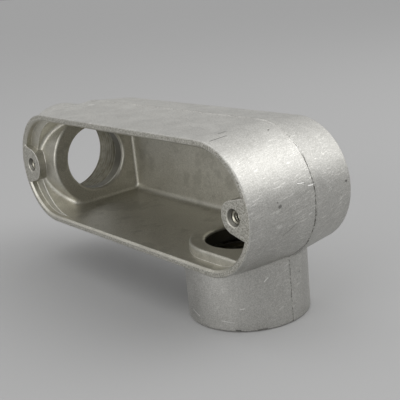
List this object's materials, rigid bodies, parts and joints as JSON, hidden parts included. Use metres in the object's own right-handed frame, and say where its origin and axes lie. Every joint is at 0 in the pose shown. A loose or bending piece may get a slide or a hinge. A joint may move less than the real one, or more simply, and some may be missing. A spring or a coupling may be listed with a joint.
{
  "type": "conduit body",
  "caption": "Oblong cast aluminium conduit body, open for a cover on one long side, with a threaded hub at an end and another at a side.",
  "frame": {"origin": "centre of the side hub's mouth", "axes": "+X towards the closed round end, the cover opening faces -Y, the side hub points down along -Z, the end hub points along -X"},
  "size_m": [0.1754, 0.0534, 0.078],
  "materials": {
    "cast_aluminium": "bare as-cast, satin, with a dressed rim"
  },
  "bodies": {
    "root": {"conduit_body": "cast_aluminium"}
  },
  "joints": []
}
